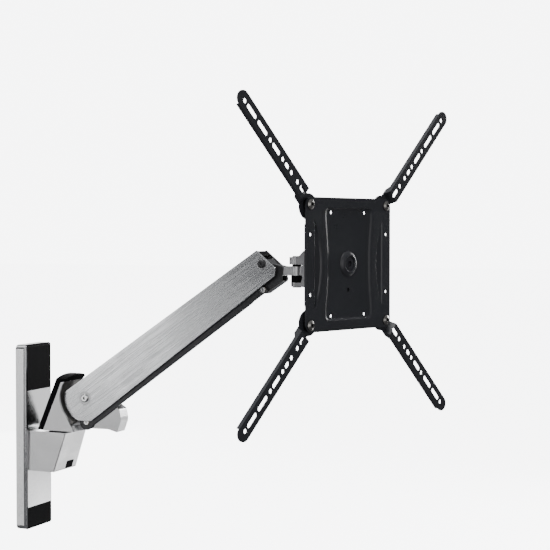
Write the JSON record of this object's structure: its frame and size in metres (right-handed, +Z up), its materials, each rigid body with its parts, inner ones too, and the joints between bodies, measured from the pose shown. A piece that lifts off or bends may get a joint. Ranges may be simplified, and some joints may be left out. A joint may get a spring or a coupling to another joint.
{
  "type": "full motion TV wall mount",
  "caption": "Wall bracket with a swivelling base, a spring-lift parallelogram arm, a pan, tilt and roll head, and a square TV plate with four turning hole straps.",
  "frame": {"origin": "centre of the wall plate's back face", "axes": "-Y out from the wall, +Z up, +X to the right when facing the wall"},
  "size_m": [0.5204, 0.7672, 0.7868],
  "materials": {
    "cast_aluminium": "satin cast",
    "bright_aluminium": "brushed bright",
    "black_plastic": "satin moulded",
    "dark_casting": "dark grey satin",
    "black_powder_coat": "fine textured powder coat",
    "bright_steel": "turned bright",
    "zinc_plate": "satin zinc plate",
    "bronze_bush": "sintered satin"
  },
  "bodies": {
    "wall_bracket": {"wall_plate": "cast_aluminium", "top_cover": "black_plastic", "bottom_cover": "black_plastic", "hub_housing": "cast_aluminium", "hub_front_cover": "bright_aluminium", "hub_plug": "black_plastic", "hub_bolts": "zinc_plate", "swivel_bushes": "bronze_bush", "friction_screw": "bright_steel"},
    "swivel": {"swivel_base": "cast_aluminium", "swivel_shaft": "bright_steel", "rear_cover": "black_plastic", "shoulder_liner": "dark_casting", "shoulder_pin": "bright_steel", "shoulder_screws": "bright_steel", "link_rear_pin": "bright_steel"},
    "arm": {"left_panel": "bright_aluminium", "right_panel": "bright_aluminium", "arm_top_cover": "bright_aluminium", "arm_end_cap": "black_plastic", "arm_bushes": "zinc_plate", "spring_block": "dark_casting", "lift_spring": "zinc_plate", "spring_rod": "bright_steel", "spring_follower": "black_plastic", "tension_nut": "zinc_plate"},
    "link": {"lower_link": "black_powder_coat", "link_bushes": "bronze_bush"},
    "front": {"front_block": "dark_casting", "front_pin": "bright_steel", "front_screws": "dark_casting", "link_front_pin": "bright_steel", "pan_knuckle": "cast_aluminium", "tension_screw": "black_plastic"},
    "yoke": {"pan_yoke": "cast_aluminium", "pan_pin": "bright_steel", "pan_washers": "black_plastic", "tilt_pin": "bright_steel", "tilt_washers": "zinc_plate", "tilt_nut": "zinc_plate"},
    "tilt_head": {"tilt_bracket": "black_powder_coat", "roll_bush": "black_plastic"},
    "plate": {"vesa_plate": "black_powder_coat", "centre_ring": "black_powder_coat", "roll_bolt": "black_powder_coat", "corner_bolts": "zinc_plate", "corner_spacers": "black_plastic", "corner_nuts": "zinc_plate"},
    "strap_top_left": {"strap_top_left": "black_powder_coat"},
    "strap_top_right": {"strap_top_right": "black_powder_coat"},
    "strap_bottom_left": {"strap_bottom_left": "black_powder_coat"},
    "strap_bottom_right": {"strap_bottom_right": "black_powder_coat"}
  },
  "joints": [
    {"name": "swivel_turn", "type": "hinge", "parent": "wall_bracket", "child": "swivel", "pos_m": [0, -0.064, 0], "axis": [0, 0, 1], "range_deg": [-85, 85]},
    {"name": "arm_lift", "type": "hinge", "parent": "swivel", "child": "arm", "pos_m": [0, -0.139, 0.079], "axis": [1, 0, 0], "range_deg": [0, 70]},
    {"name": "link_swing", "type": "hinge", "parent": "swivel", "child": "link", "pos_m": [0, -0.139, 0.033], "axis": [1, 0, 0], "range_deg": [0, 70]},
    {"name": "front_level", "type": "hinge", "parent": "arm", "child": "front", "pos_m": [0, -0.5027, 0.33367], "axis": [1, 0, 0], "range_deg": [-70, 0]},
    {"name": "head_pan", "type": "hinge", "parent": "front", "child": "yoke", "pos_m": [0, -0.5605, 0.3215], "axis": [0, 0, 1], "range_deg": [-60, 95]},
    {"name": "head_tilt", "type": "hinge", "parent": "yoke", "child": "tilt_head", "pos_m": [-0.01898, -0.61531, 0.3355], "axis": [0.9449, -0.3272, 0], "range_deg": [-5, 15]},
    {"name": "roll_level", "type": "hinge", "parent": "tilt_head", "child": "plate", "pos_m": [-0.03927, -0.67389, 0.3355], "axis": [-0.3272, -0.9449, 0], "range_deg": [-5, 5]},
    {"name": "strap_top_left_turn", "type": "hinge", "parent": "plate", "child": "strap_top_left", "pos_m": [-0.13376, -0.64117, 0.4355], "axis": [-0.3272, -0.9449, 0], "range_deg": [-30, 30]},
    {"name": "strap_top_right_turn", "type": "hinge", "parent": "plate", "child": "strap_top_right", "pos_m": [0.05523, -0.70662, 0.4355], "axis": [-0.3272, -0.9449, 0], "range_deg": [-30, 30]},
    {"name": "strap_bottom_left_turn", "type": "hinge", "parent": "plate", "child": "strap_bottom_left", "pos_m": [-0.13376, -0.64117, 0.2355], "axis": [-0.3272, -0.9449, 0], "range_deg": [-30, 30]},
    {"name": "strap_bottom_right_turn", "type": "hinge", "parent": "plate", "child": "strap_bottom_right", "pos_m": [0.05523, -0.70662, 0.2355], "axis": [-0.3272, -0.9449, 0], "range_deg": [-30, 30]}
  ],
  "couplings": [
    {"joint": "link_swing", "follows": "arm_lift", "ratio": 1},
    {"joint": "front_level", "follows": "arm_lift", "ratio": -1}
  ]
}
